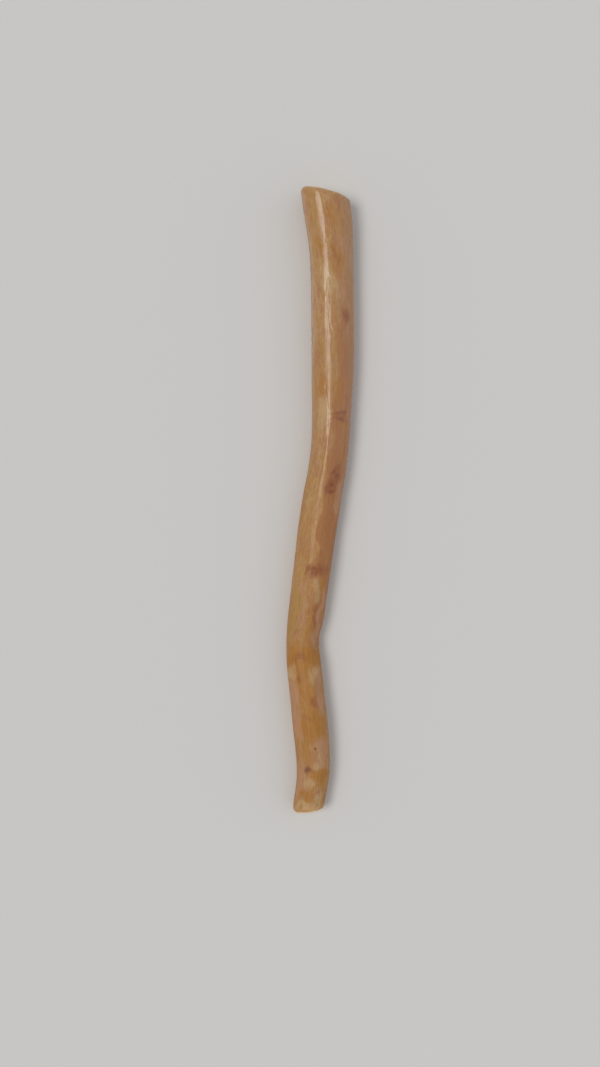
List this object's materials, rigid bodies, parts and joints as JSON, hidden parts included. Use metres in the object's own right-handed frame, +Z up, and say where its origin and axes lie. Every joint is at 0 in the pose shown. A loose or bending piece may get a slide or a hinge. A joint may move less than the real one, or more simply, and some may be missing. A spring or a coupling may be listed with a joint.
{
  "type": "miswak stick",
  "caption": "Slightly bent cut length of tooth-cleaning root with its bark on, lying on its side, with one thick and one thin cut end.",
  "frame": {"origin": "under the middle of the box that the stick fills, on the surface that it rests on", "axes": "+Y along the stick towards its thick end, +X to the right as seen from above, +Z up"},
  "size_m": [0.0186, 0.1708, 0.0125],
  "materials": {
    "bark": "smooth thin bark, golden tan with red-brown bands and paler patches, slightly moist satin"
  },
  "bodies": {
    "root": {"miswak_stick": "bark"}
  },
  "joints": []
}
